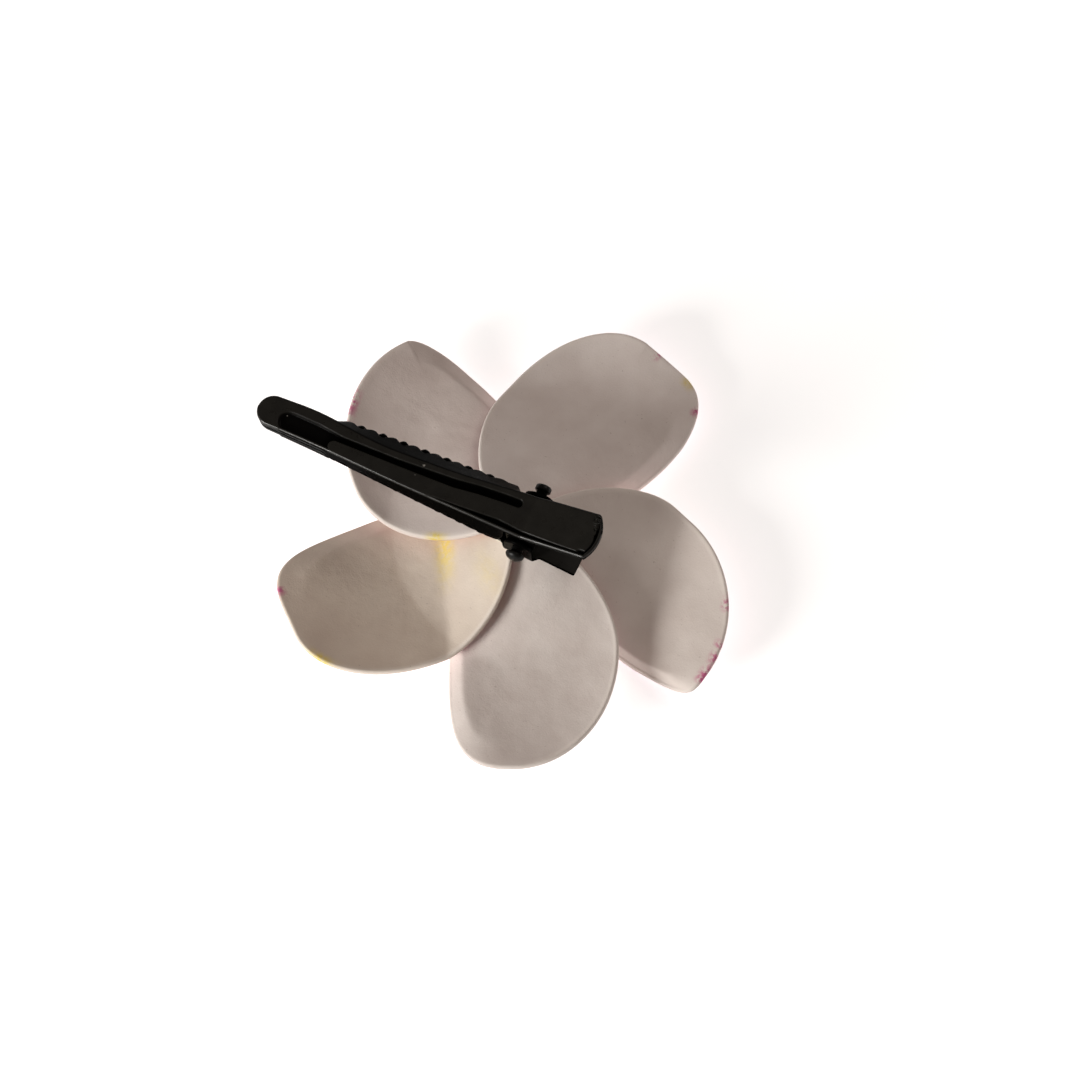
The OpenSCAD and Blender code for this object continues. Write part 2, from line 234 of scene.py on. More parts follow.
def make_mesh(name, points, faces, place, turn=0.0):
    """A mesh object from points in mm, turned about Z and put at place."""
    c, s = math.cos(turn), math.sin(turn)
    p = np.asarray(points, float)
    world = np.column_stack([
        (c * p[:, 0] - s * p[:, 1]) * MM + place.x,
        (s * p[:, 0] + c * p[:, 1]) * MM + place.y,
        p[:, 2] * MM + place.z])
    mesh = bpy.data.meshes.new(name)
    mesh.from_pydata(world.tolist(), [], faces)
    mesh.validate()
    mesh.update()
    mesh.shade_smooth()
    made = bpy.data.objects.new(name, mesh)
    bpy.context.scene.collection.objects.link(made)
    return made


def add_attribute(obj, name, values):
    attribute = obj.data.attributes.new(name, "FLOAT", "POINT")
    attribute.data.foreach_set("value", np.asarray(values, np.float32))


def grid_faces(rows, columns, first=0, wrap=True, flip=False):
    """Quads between rows of points, each of columns points, closed round if wrap."""
    faces = []
    for r in range(rows - 1):
        for c in range(columns if wrap else columns - 1):
            n = (c + 1) % columns
            quad = (first + r * columns + c, first + r * columns + n,
                    first + (r + 1) * columns + n, first + (r + 1) * columns + c)
            faces.append(quad[::-1] if flip else quad)
    return faces


def wobble(x, y, z, size, seed):
    """Smooth noise from -1 to 1 with features of that size in mm."""
    return np.array([noise.noise(Vector((a / size + seed, b / size - seed, c / size)))
                     for a, b, c in zip(np.ravel(x), np.ravel(y), np.ravel(z))]).reshape(np.shape(x))


# ------------------------------------------------------------------ petals
def signed_power(v, p):
    return np.sign(v) * np.abs(v) ** p


def petal_rim(a, k):
    """A petal's outline round the middle of its belly, as part.scad draws it."""
    shape = PETALS[k]
    ca, sa = np.cos(a), np.sin(a)
    tip, full = ca > 0, sa > 0
    power = 2 / np.where(tip, np.where(full, 2, shape["power"]), ROOT_POWER)
    along = np.where(tip, PETAL_REACH * shape["reach"] - BELLY_AT, BELLY_AT - ROOT_GAP)
    across = np.where(full, FULL_SIDE * shape["full"], FOLD_SIDE * shape["fold"])
    y = across * signed_power(sa, power)
    lean = np.where(full, 0, shape["lean"] * y * y / across)
    return along * signed_power(ca, power) + lean, y


def back_profile(r, turn):
    """Height of the flower's back at distance r from its axis, in direction turn."""
    valley = VALLEY_R + VALLEY_SHIFT * np.cos(turn - math.radians(VALLEY_SIDE))
    bowl = CENTRE_RISE * np.maximum(0, 1 - r / valley) ** FUNNEL_POWER
    return bowl + END_CURL * (np.maximum(0, r - valley) / CURL_RUN) ** 2


def crease_distance(x, y, k):
    at, slope, _ = PETALS[k]["crease"]
    return (x - at - slope * y) / math.sqrt(1 + slope * slope)


def petal_surface(s, a, k):
    """Points of petal k's back, ring share s of the way to the rim at angle a."""
    rx, ry = petal_rim(a, k)
    x, y = BELLY_AT + s * rx, s * ry
    r = np.hypot(x, y)
    turned = np.degrees(np.arctan2(y, x)) + PETALS[k]["turn"]
    fan = FAN_STEP * (turned - FIRST_TURN - PETAL_SPACING * k) / PETAL_SPACING
    lift = EDGE_LIFT * s ** 4 * np.maximum(0, np.sin(a))
    past = (s - FOLD_START) / (1 - FOLD_START)
    ramp = 0.5 * (past + np.sqrt(past * past + FOLD_SOFTNESS)) * np.minimum(1, s / FOLD_START)
    fold = FOLD_DROP * ramp * np.maximum(0, -np.sin(a)) ** 0.7
    soft = np.sqrt(crease_distance(x, y, k) ** 2 + CREASE_WIDTH ** 2) - CREASE_WIDTH
    crease = CREASE_DEPTH * PETALS[k]["crease"][2] * np.exp(-soft / CREASE_REACH)
    crease *= smooth(r / CREASE_FROM_R - 1)
    z = back_profile(r, np.radians(turned)) + fan + lift - fold - crease
    calmer_rim = smooth(1.6 - 0.9 * s)
    z += WAVE_HEIGHT * wobble(x, y, 0 * x, WAVE_SIZE, 3.1 + 7 * k) * calmer_rim
    z += DIMPLE_HEIGHT * wobble(x, y, 0 * x, DIMPLE_SIZE, 11.7 + 5 * k)
    return x, y, z


def painted(spots, k, angle, share):
    """How much paint from the front shows at each point near petal k's rim."""
    amount = np.zeros_like(angle)
    for petal_index, at, half in spots:
        if petal_index == k:
            away = (angle - at + 180) % 360 - 180
            spot = np.exp(-(away / half) ** 2) * smooth((share - PAINT_FROM) / (1 - PAINT_FROM))
            amount = np.maximum(amount, spot)
    return amount


def crease_stain(x, y, k):
    """Yellow that ran down petal k's crease from under its neighbour, and a faint patch beside it."""
    away = crease_distance(x, y, k) + 0.3
    # The run is full from y = -10 to -4.5 mm, and gone by -14 and 4.5 mm.
    along = smooth((4.5 - y) / 9) * smooth((y + 14) / 4)
    run = 0.9 * np.exp(-np.maximum(0, np.abs(away) - 0.4) ** 2 / 1.1) * along
    patch = np.hypot(x - 6.0, (y - 4.3) / 2.2)
    return np.maximum(run, 0.25 * np.exp(-(patch / 1.6) ** 2))


def rounded_rim(x, y, z):
    """A petal's half-round rim outside the closed curve x, y, z, level by level towards its front."""
    ahead = np.column_stack([np.roll(x, -1) - np.roll(x, 1), np.roll(y, -1) - np.roll(y, 1)])
    ahead /= np.linalg.norm(ahead, axis=1)[:, None]
    levels = []
    for t in np.linspace(math.pi / 2, -math.pi / 2, RIM_LEVELS + 2)[1:-1]:
        out = RIM_OUT * math.cos(t)
        down = PETAL_T / 2 * (1 - math.sin(t))
        levels.append(np.column_stack([x + ahead[:, 1] * out, y - ahead[:, 0] * out, z - down]))
    return np.vstack(levels)


def petal_faces(rings):
    """Faces of a petal's back round its hub, of its front, and of the rim that joins them."""
    first_rim = 1 + rings * AROUND
    first_front = first_rim + RIM_LEVELS * AROUND
    front_hub = first_front + rings * AROUND
    faces = [(0, 1 + i, 1 + (i + 1) % AROUND) for i in range(AROUND)]
    faces += grid_faces(rings, AROUND, 1, flip=True)
    faces += [(front_hub, first_front + (i + 1) % AROUND, first_front + i) for i in range(AROUND)]
    faces += grid_faces(rings, AROUND, first_front)
    levels = [1 + (rings - 1) * AROUND]
    levels += [first_rim + n * AROUND for n in range(RIM_LEVELS)]
    levels.append(first_front + (rings - 1) * AROUND)
    for above, below in zip(levels, levels[1:]):
        faces += [(above + i, below + i, below + (i + 1) % AROUND, above + (i + 1) % AROUND)
                  for i in range(AROUND)]
    return faces


def petal(k):
    """Petal k as a closed sheet, with the attributes that its foam material reads."""
    shares = np.concatenate([np.linspace(0.04, 0.72, 24), np.linspace(0.72, 1, 22)[1:]])
    angles = np.linspace(0, 2 * math.pi, AROUND, endpoint=False)
    share, angle = np.meshgrid(shares, angles, indexing="ij")
    x, y, z = petal_surface(share * (1 - RIM_OUT / BELLY_AT), angle, k)
    hub = np.array([[v.item() for v in petal_surface(np.array(0.0), np.array(0.0), k)]])
    back_side = np.column_stack([x.ravel(), y.ravel(), z.ravel()])
    rim = rounded_rim(x[-1], y[-1], z[-1])
    sheet = [0, 0, PETAL_T]
    points = np.vstack([hub, back_side, rim, back_side - sheet, hub - sheet])
    turn = math.radians(PETALS[k]["turn"])
    made = make_mesh(f"petal_{k + 1}_foam", points, petal_faces(len(shares)), flower, turn)

    beyond_rim = np.full(len(rim), 1.02)
    rim_angle = np.tile(angles, RIM_LEVELS)
    rim_front = np.repeat(np.linspace(0, 1, RIM_LEVELS), AROUND)
    whole_share = np.concatenate([[0], share.ravel(), beyond_rim, share.ravel(), [0]])
    whole_angle = np.degrees(np.concatenate([[0], angle.ravel(), rim_angle, angle.ravel(), [0]]))
    front = np.concatenate([np.zeros(1 + len(back_side)), rim_front, np.ones(len(back_side) + 1)])
    yellow = painted(YELLOW_SPOTS, k, whole_angle, whole_share)
    if k == STAINED_PETAL:
        yellow = np.maximum(yellow, crease_stain(points[:, 0], points[:, 1], k))
    lifted_side = np.sqrt(np.maximum(0, np.sin(np.radians(whole_angle))))
    add_attribute(made, "rim_share", whole_share)
    add_attribute(made, "front", front)
    add_attribute(made, "axis_distance", np.hypot(points[:, 0], points[:, 1]))
    add_attribute(made, "pink", painted(PINK_SPOTS, k, whole_angle, whole_share))
    add_attribute(made, "yellow", yellow)
    # A painted highlight that lightens the lifted edge towards the rim.
    add_attribute(made, "lit_edge_highlight", smooth((whole_share - LIT_EDGE_FROM) / LIT_EDGE_RUN) * lifted_side)
    return made


# ------------------------------------------------------------------ clip
def plate_top(x):
    """Height of the rim of a jaw's plate above the clip's middle plane."""
    bend = 0.8
    past = 0.5 * (x + np.sqrt(x * x + bend * bend)) - bend / 2 * np.exp(-np.abs(x))
    return PIVOT_H + JAW_SLOPE * x + (TAIL_SLOPE - JAW_SLOPE) * past


def line_at(x, line):
    """A line given by a few points, with its corners rounded over about 2 mm."""
    return sum(np.interp(x + shift, *line) for shift in (-2.4, -1.2, 0, 1.2, 2.4)) / 5


def plate_edge(x, line, shoulder):
    """A plate's edge line, moved out by shoulder beside the pin to carry a wider ear."""
    y = line_at(x, line)
    return y + np.sign(y) * shoulder * smooth((EAR_R + 0.9 - np.abs(x)) / 0.8)


def jaw_outline(shoulder, reach, end_r):
    """The plate's outline from above, from the tail's near corner round the tip and back, and the
    point on the plate's middle line that each outline point is joined to."""
    end_x = reach - end_r
    corner = end_x + math.sqrt(end_r ** 2 - TAIL_HALF ** 2)
    x = np.linspace(corner, TIP_X, 420)
    near, far = plate_edge(x, NEAR_EDGE, shoulder), plate_edge(x, FAR_EDGE, shoulder)
    middle = (near + far) / 2
    tip_r = (far[-1] - near[-1]) / 2
    turn = np.linspace(-math.pi / 2, -3 * math.pi / 2, 92)[1:-1]
    swing = math.asin(TAIL_HALF / end_r)
    end = np.linspace(swing, -swing, 62)[1:-1]
    outline = np.vstack([
        np.column_stack([x, near]),
        np.column_stack([TIP_X + tip_r * np.cos(turn), middle[-1] + tip_r * np.sin(turn)]),
        np.column_stack([x, far])[::-1],
        np.column_stack([end_x + end_r * np.cos(end), end_r * np.sin(end)])])
    spine = np.vstack([
        np.column_stack([x, middle]),
        np.tile([TIP_X, middle[-1]], (len(turn), 1)),
        np.column_stack([x, middle])[::-1],
        np.tile([corner, middle[0]], (len(end), 1))])
    for _ in range(4):
        outline = (np.roll(outline, 1, 0) + 2 * outline + np.roll(outline, -1, 0)) / 4
    return outline, spine


def inside_slot(x, y, low_y, high_y, start=-99.0, stop=99.0):
    """Distance inside a slot between two lines with round ends, negative outside."""
    half = (high_y - low_y) / 2
    beyond = np.maximum(0, np.maximum(start + half - x, x - stop + half))
    return half - np.hypot(beyond, y - (low_y + high_y) / 2)


def pressed_depth(x, y, edge):
    """How far the pressed pattern lies below the plate's rim: a channel with a round front end,
    a rib down its middle that runs out into the tail, and a valley along the tail's near edge
    and round its end. edge is the distance from the plate's outline."""
    channel_near = line_at(x, NEAR_EDGE) + 0.1
    channel_far = np.interp(x, *CHANNEL_FAR)
    rib_near = np.interp(x, *RIB_NEAR)
    rib_far = np.interp(x, *RIB_FAR)
    channel = inside_slot(x, y, channel_near, channel_far, start=CHANNEL_FRONT)
    rib = inside_slot(x, y, rib_near, rib_far, start=RIB_FRONT)
    far_groove = inside_slot(x, y, rib_far, channel_far, stop=FAR_GROOVE_END)
    near_far_end = (y > (rib_near + rib_far) / 2) & (x > FAR_GROOVE_END - 4.6)
    inside = np.minimum(channel, -rib)
    inside = np.where(near_far_end, np.minimum(inside, far_groove), inside)
    inside = np.minimum(inside, edge - PLATE_MARGIN)
    valley = np.minimum(edge - TAIL_VALLEY_EDGES[0], TAIL_VALLEY_EDGES[1] - edge)
    valley = 0.6 * valley * smooth((x - TAIL_VALLEY_FROM) / 0.8) * smooth((TAIL_VALLEY_FAR_Y - y) / 0.8)
    return PRESSED_DEPTH * smooth(np.maximum(inside, valley) / WALL_RUN)


def tooth_edge(x, wave):
    """Height of a flange's lower edge, waved along the teeth. wave is 1 or -1, so the jaws mesh."""
    waved = np.sin(2 * math.pi * TOOTH_WAVES * (x - TEETH_FROM) / (TEETH_TO - TEETH_FROM))
    return TOOTH_GAP / 2 + wave * TOOTH_A * waved * smooth(TEETH_TO + 1 - x)


def plate_rows(outline, spine, rim, plain_tail):
    """Rows of points, and of painted shade values that darken the pressed pattern, from the plate's middle
    line to the start of its bend.
    """
    rows = []
    shade_and_glint = []
    for share in np.concatenate([np.linspace(0, 0.85, 34), np.linspace(0.85, 1, 9)[1:]]):
        p = spine + share * (rim - spine)
        edge = np.linalg.norm(outline - p, axis=1)
        depth = pressed_depth(p[:, 0], p[:, 1], edge)
        if plain_tail:
            depth = depth * smooth(-p[:, 0] / 2)
        rows.append(np.column_stack([p, plate_top(p[:, 0]) - depth]))
        # The channel's painted shade is weaker in front of the teeth.
        shade = 0.55 + 0.45 * smooth((p[:, 0] - TEETH_FROM) / 3)
        shade_and_glint.append(OPEN_FACE + (1 - OPEN_FACE) * shade * depth / PRESSED_DEPTH)
    return rows, shade_and_glint


def bend_rows(rim, rim_z, outward, bend_r, lean, near):
    """Rows of points and values of painted light round the bend: a painted glint along the near bend and
    painted shade growing round the far one. near says where it is the near one.
    """
    rows = []
    shade_and_glint = []
    for t in np.linspace(0, 1, 7)[1:]:
        angle = t * (math.pi / 2 - lean)
        out = bend_r * np.sin(angle)
        down = bend_r * (1 - np.cos(angle))
        rows.append(np.column_stack([rim + outward * out[:, None], rim_z - down]))
        near_glint = OPEN_FACE * (1 - math.sin(math.pi * t) ** 3)
        shade_and_glint.append(np.where(near, near_glint, OPEN_FACE + (1 - OPEN_FACE) * t))
    return rows, shade_and_glint


def hanging_rows(base, low, outward, lean):
    """Rows of points straight down a flange, lip or ear, from the bend's last row to height low."""
    rows = []
    for t in np.linspace(0, 1, 10)[1:]:
        down = np.maximum(0.02, base[:, 2] - low) * t
        out = down * np.tan(lean)
        rows.append(np.column_stack([base[:, :2] + outward * out[:, None], base[:, 2] - down]))
    return rows


def jaw_points(shoulder, wave, plain_tail):
    """The outer surface of a jaw with its plate up: the plate, the bend round its rim and the
    flange, tooth edge, lip or ear that hangs from it. Returns (points, painted light values, rows,
    columns)."""
    reach, end_r = (SHORT_TAIL_REACH, PLAIN_END_R) if plain_tail else (TAIL_REACH, TAIL_END_R)
    side_lip, end_lip = (PLAIN_LIP, PLAIN_LIP) if plain_tail else (SIDE_LIP, END_LIP)
    outline, spine = jaw_outline(shoulder, reach, end_r)
    ahead = np.roll(outline, -1, 0) - np.roll(outline, 1, 0)
    ahead /= np.linalg.norm(ahead, axis=1)[:, None]
    outward = np.column_stack([-ahead[:, 1], ahead[:, 0]])
    if np.sum(outward[0] * (outline[0] - outline.mean(0))) < 0:
        outward = -outward
    x, y = outline[:, 0], outline[:, 1]
    near = y < TIP_Y / 2
    bend_r = np.where(y > TIP_Y, FAR_BEND_R, NEAR_BEND_R)
    if plain_tail:
        bend_r = np.where(x > EAR_R + 0.5, PLAIN_BEND_R, bend_r)
    rim = outline - bend_r[:, None] * outward
    rows, shade_and_glint = plate_rows(outline, spine, rim, plain_tail)
    rim_z = rows[-1][:, 2]

    # The toothed flanges lean out from the plate's edge to the lines of the teeth.
    toothed = smooth((x - TEETH_FROM) / 2.0) * smooth((FLANGE_TO - x) / 1.5 + 0.4)
    teeth_y = np.where(near, np.interp(x, *NEAR_TEETH), np.interp(x, *FAR_TEETH))
    reach_out = toothed * np.maximum(0, np.abs(teeth_y - y))
    flange_low = np.where(x < FLANGE_TO, TOOTH_GAP / 2, 0)
    lean = np.arctan2(reach_out, np.maximum(0.3, rim_z - flange_low))

    low = np.where(x < TEETH_FROM, TOOTH_GAP / 2, rim_z - bend_r - side_lip)
    low = np.where((x > TEETH_FROM) & (x < FLANGE_TO), tooth_edge(x, wave), low)
    low = np.where(np.abs(x) < EAR_R, -np.sqrt(np.maximum(0, EAR_R ** 2 - x ** 2)), low)
    low = np.where(x > reach - 1.3, rim_z - bend_r - end_lip, low)

    bend, bend_shade_and_glint = bend_rows(rim, rim_z, outward, bend_r, lean, near)
    hanging = hanging_rows(bend[-1], low, outward, lean)
    rows += bend + hanging
    # All that hangs from the bends gets full painted shade.
    shade_and_glint += bend_shade_and_glint + [np.ones(len(x))] * len(hanging)
    return np.vstack(rows), np.concatenate(shade_and_glint), len(rows), len(outline)


def jaw(name, shoulder, wave, side, plain_tail):
    """A jaw of sheet steel. side is 1 with its plate up and -1 with its plate down."""
    points, shade_and_glint, rows, columns = jaw_points(shoulder, wave, plain_tail)
    points[:, 2] *= side
    made = make_mesh(name, points, grid_faces(rows, columns, flip=side < 0), pivot)
    add_attribute(made, "shade_and_glint", shade_and_glint)
    merge = made.modifiers.new("join_middle", "WELD")
    merge.merge_threshold = JOIN_WITHIN * MM
    steel = made.modifiers.new("steel", "SOLIDIFY")
    steel.thickness = DRAWN_STEEL_T * MM
    steel.offset = -1
    return made


def pivot_pin():
    """The pin along Y, turned from a profile of (radius, distance from its domed end)."""
    r = PIN_D / 2
    head_r = HEAD_D / 2
    peen_r = PEEN_D / 2
    end = 2 * PIN_END
    shank_end = end - 0.95
    dome = [(head_r * math.sin(t), 0.9 * (1 - math.cos(t))) for t in np.linspace(0.12, math.pi / 2, 12)]
    neck = [(head_r, 1.0), (head_r - 0.12, 1.08), (r + 0.15, 1.1), (r, 1.2), (r, 1.6)]
    peen = [(r, shank_end), (peen_r - 0.1, shank_end + 0.04), (peen_r, shank_end + 0.15),
            (peen_r - 0.02, end - 0.2), (peen_r - 0.2, end - 0.03), (0.5, end - 0.08), (0.0, end - 0.1)]
    profile = [(0.0, 0.0)] + dome + neck + peen
    around = 48
    points = []
    for ring_r, h in profile:
        for i in range(around):
            t = 2 * math.pi * i / around
            # The two heads are slightly out of round.
            uneven = 1 + 0.03 * math.sin(2 * t + 0.6) * (ring_r > r + 0.1)
            points.append((ring_r * uneven * math.cos(t), h - PIN_END, ring_r * uneven * math.sin(t)))
    made = make_mesh("pivot_pin_steel", points, grid_faces(len(profile), around), pivot)
    add_attribute(made, "shade_and_glint", np.full(len(points), OPEN_FACE))
    return made


def around_pin(t):
    """Unit vector at angle t round the pin's axis."""
    return np.array([math.cos(t), 0, math.sin(t)])


def torsion_spring():
    """The wire with a leg along each tail, and the two ends of its coil along Y, in metres."""
    tail = math.atan(TAIL_SLOPE)
    inner = (PIVOT_H - STEEL_T) * math.cos(tail)
    leg = tail + math.asin((inner - WIRE_D / 2 - COIL_R) / LEG_REACH) - math.radians(LEG_EASE)
    start = math.pi / 2 + leg
    sweep = 2 * math.pi * (COIL_TURNS - 1) + math.pi - 2 * leg
    width = (WIRE_D + TURN_GAP) * sweep / (2 * math.pi)
    steps = 160
    coil = []
    for i in range(steps + 1):
        t = start + sweep * i / steps
        coil.append((COIL_R * around_pin(t) + [0, width * (i / steps - 0.5), 0], around_pin(t)))
    first, last = coil[0], coil[-1]
    head = [(first[0] + d * around_pin(leg), first[1]) for d in np.linspace(LEG_REACH, 0.3, 10)]
    foot = [(last[0] + d * around_pin(-leg), last[1]) for d in np.linspace(0.3, LEG_REACH, 10)]
    line = head + coil + foot
    sides = 14
    points = []
    for centre, away in line:
        for j in range(sides):
            t = 2 * math.pi * j / sides
            points.append(centre + WIRE_D / 2 * (math.cos(t) * away + math.sin(t) * np.array([0, 1, 0])))
    faces = grid_faces(len(line), sides)
    faces.append(tuple(range(sides)))
    faces.append(tuple(reversed(range((len(line) - 1) * sides, len(line) * sides))))
    made = make_mesh("torsion_spring_wire", points, faces, pivot)
    low_y = pivot.y + (-width / 2 + WIRE_D / 2) * MM
    high_y = pivot.y + (width / 2 - WIRE_D / 2) * MM
    return made, low_y, high_y


def blob(name, profile, place, seed, unevenness):
    """A turned lump with an uneven surface, from a profile of (radius, height) in mm."""
    around = 72
    points = []
    for r, h in profile:
        for i in range(around):
            t = 2 * math.pi * i / around
            points.append((r * math.cos(t), r * math.sin(t), h))
    points = np.array(points)
    swell = 1 + unevenness * wobble(points[:, 0], points[:, 1], points[:, 2], 2.4, seed)
    points[:, 0] *= swell
    points[:, 1] *= swell
    return make_mesh(name, points, grid_faces(len(profile), around), place)


# ------------------------------------------------------------------ materials
def node_material(name):
    material = bpy.data.materials.new(name)
    material.use_nodes = True
    nodes, links = material.node_tree.nodes, material.node_tree.links
    shader = nodes["Principled BSDF"]
    place = nodes.new("ShaderNodeTexCoord").outputs["Object"]
    return material, nodes, links, shader, place


# Each helper that is given nodes adds one node and returns the socket that the next one reads.
def noise_node(nodes, links, place, scale, detail=3.0, rough=0.55):
    made = nodes.new("ShaderNodeTexNoise")
    made.inputs["Scale"].default_value = scale
    made.inputs["Detail"].default_value = detail
    made.inputs["Roughness"].default_value = rough
    links.new(place, made.inputs["Vector"])
    return made.outputs["Fac"]


def ramp(nodes, links, source, stops):
    """A colour ramp over source, from (position, colour) stops."""
    made = nodes.new("ShaderNodeValToRGB")
    while len(made.color_ramp.elements) < len(stops):
        made.color_ramp.elements.new(0.5)
    for element, (at, colour) in zip(made.color_ramp.elements, stops):
        element.position = at
        element.color = (*colour, 1) if len(colour) == 3 else colour
    links.new(source, made.inputs["Fac"])
    return made.outputs["Color"]


def grey(v):
    return (v, v, v)


def times(colour, tint):
    """A colour with each channel multiplied by the tint's."""
    return tuple(a * b for a, b in zip(colour, tint))


def mix_colour(nodes, links, amount, a, b, mode="MIX"):
    made = nodes.new("ShaderNodeMix")
    made.data_type = "RGBA"
    made.blend_type = mode
    for value, socket in ((amount, made.inputs["Factor"]), (a, made.inputs[6]), (b, made.inputs[7])):
        if hasattr(value, "is_output"):
            links.new(value, socket)
        elif isinstance(value, tuple):
            socket.default_value = (*value, 1)
        else:
            socket.default_value = value
    return made.outputs[2]


def maths(nodes, links, kind, a, b=0.0, clamp=False):
    made = nodes.new("ShaderNodeMath")
    made.operation = kind
    made.use_clamp = clamp
    for value, socket in zip((a, b), made.inputs):
        if hasattr(value, "is_output"):
            links.new(value, socket)
        else:
            socket.default_value = value
    return made.outputs[0]


def weakened(nodes, links, source, share):
    """1 where source is 1, and 1 - share where it is 0."""
    made = nodes.new("ShaderNodeMath")
    made.operation = "MULTIPLY_ADD"
    links.new(source, made.inputs[0])
    made.inputs[1].default_value = share
    made.inputs[2].default_value = 1 - share
    return made.outputs[0]


def band(nodes, links, source, low, high):
    """0 below low and 1 above high, smooth between them."""
    made = nodes.new("ShaderNodeMapRange")
    made.interpolation_type = "SMOOTHSTEP"
    made.inputs["From Min"].default_value = low
    made.inputs["From Max"].default_value = high
    links.new(source, made.inputs["Value"])
    return made.outputs["Result"]


def attribute(nodes, name):
    made = nodes.new("ShaderNodeAttribute")
    made.attribute_name = name
    return made.outputs["Fac"]


def bump(nodes, links, height, strength, distance, under=None):
    made = nodes.new("ShaderNodeBump")
    made.inputs["Strength"].default_value = strength
    made.inputs["Distance"].default_value = distance
    links.new(height, made.inputs["Height"])
    if under is not None:
        links.new(under, made.inputs["Normal"])
    return made.outputs["Normal"]


def foam_material(name, seed, tint):
    """Off-white foam: fine pores darkened with painted shade, cloudy tone, painted at the rim and over the
    front, and a painted highlight along each lifted edge.
    """
    material, nodes, links, shader, place = node_material(name)
    cloud = noise_node(nodes, links, place, 140 + seed * 9, 4)
    # The tint makes each petal's foam lighter or darker as painted light and shade.
    darker = times((0.72, 0.65, 0.61), tint)
    lighter = times((0.80, 0.74, 0.70), tint)
    base = ramp(nodes, links, cloud, [(0.32, darker), (0.68, lighter)])
    # The lifted edge is lightened towards cream: a painted highlight.
    lit_edge = maths(nodes, links, "MULTIPLY", attribute(nodes, "lit_edge_highlight"), 0.45)
    base = mix_colour(nodes, links, lit_edge, base, (0.93, 0.86, 0.79))
    # Fine pores, darkened with painted shade in their pits as well as bumped in.
    pores = noise_node(nodes, links, place, 2400, 2, 0.6)
    pore = maths(nodes, links, "MULTIPLY", band(nodes, links, pores, 0.69, 0.75), 0.45)
    base = mix_colour(nodes, links, pore, base, (0.40, 0.32, 0.28))
    patchy = noise_node(nodes, links, place, 900, 3, 0.7)
    spatter = band(nodes, links, patchy, 0.38, 0.56)
    yellow = maths(nodes, links, "MULTIPLY", attribute(nodes, "yellow"),
                   weakened(nodes, links, spatter, 0.5), True)
    pink = maths(nodes, links, "MULTIPLY", attribute(nodes, "pink"), spatter, True)
    base = mix_colour(nodes, links, yellow, base, (0.83, 0.66, 0.14))
    base = mix_colour(nodes, links, pink, base, (0.58, 0.10, 0.26))
    # The front is yellow in the throat and white beyond it, with a pink blush along the rim.
    outward = maths(nodes, links, "MULTIPLY", attribute(nodes, "axis_distance"), 1 / 36)
    uneven = maths(nodes, links, "MULTIPLY", cloud, 0.12)
    heart = ramp(nodes, links, maths(nodes, links, "ADD", outward, uneven),
                 [(0.28, (0.86, 0.60, 0.06)), (0.52, (0.85, 0.80, 0.72)), (0.90, (0.84, 0.78, 0.75))])
    blush = maths(nodes, links, "MULTIPLY", band(nodes, links, attribute(nodes, "rim_share"), 0.86, 1.03),
                  weakened(nodes, links, spatter, 0.5))
    heart = mix_colour(nodes, links, blush, heart, (0.68, 0.20, 0.36))
    on_front = band(nodes, links, attribute(nodes, "front"), 0.45, 0.85)
    links.new(mix_colour(nodes, links, on_front, base, heart), shader.inputs["Base Color"])
    rough = ramp(nodes, links, cloud, [(0.3, grey(0.78)), (0.7, grey(0.92))])
    links.new(rough, shader.inputs["Roughness"])
    fine = noise_node(nodes, links, place, 3600, 3, 0.7)
    soft = noise_node(nodes, links, place, 300, 3, 0.55)
    low = bump(nodes, links, soft, 0.35, 0.0003)
    low = bump(nodes, links, pore, -0.6, 0.0002, low)
    links.new(bump(nodes, links, fine, 0.45, 0.00008, low), shader.inputs["Normal"])
    return material


def paint_material(name, base=(0.0105, 0.0100, 0.0085)):
    """Black enamel: faintly dusty on the open faces, with specks, and with painted light: painted shade
    (far darker, almost no gloss) in the pressed grooves and on the sides, and a painted glint (more gloss)
    on the near bend.
    """
    material, nodes, links, shader, place = node_material(name)
    cloud = noise_node(nodes, links, place, 400, 4)
    dusty = ramp(nodes, links, cloud, [(0.3, base), (0.75, tuple(v * 1.5 for v in base))])
    shade_and_glint = attribute(nodes, "shade_and_glint")
    # Painted shade: where the attribute is high the enamel is made ten times darker.
    painted_shade_colour = tuple(v * 0.1 for v in base)
    colour = mix_colour(nodes, links, band(nodes, links, shade_and_glint, 0.25, 0.7), dusty, painted_shade_colour)
    specks = band(nodes, links, noise_node(nodes, links, place, 1100, 1, 0.5), 0.795, 0.82)
    colour = mix_colour(nodes, links, specks, colour, (0.22, 0.21, 0.19))
    links.new(colour, shader.inputs["Base Color"])
    handled = noise_node(nodes, links, place, 900, 4)
    rough = ramp(nodes, links, handled, [(0.3, grey(0.24)), (0.7, grey(0.42))])
    links.new(rough, shader.inputs["Roughness"])
    peel = noise_node(nodes, links, place, 1500, 2)
    links.new(bump(nodes, links, peel, 0.12, 0.0001), shader.inputs["Normal"])
    shader.inputs["Metallic"].default_value = 0.0
    # Painted light in the gloss: strong on the near bend for a painted glint, nearly none in the painted
    # shade.
    gloss = ramp(nodes, links, shade_and_glint,
                 [(0.0, grey(0.5)), (0.16, grey(0.17)), (0.3, grey(0.15)), (0.8, grey(0.01))])
    links.new(gloss, shader.inputs["Specular IOR Level"])
    return material


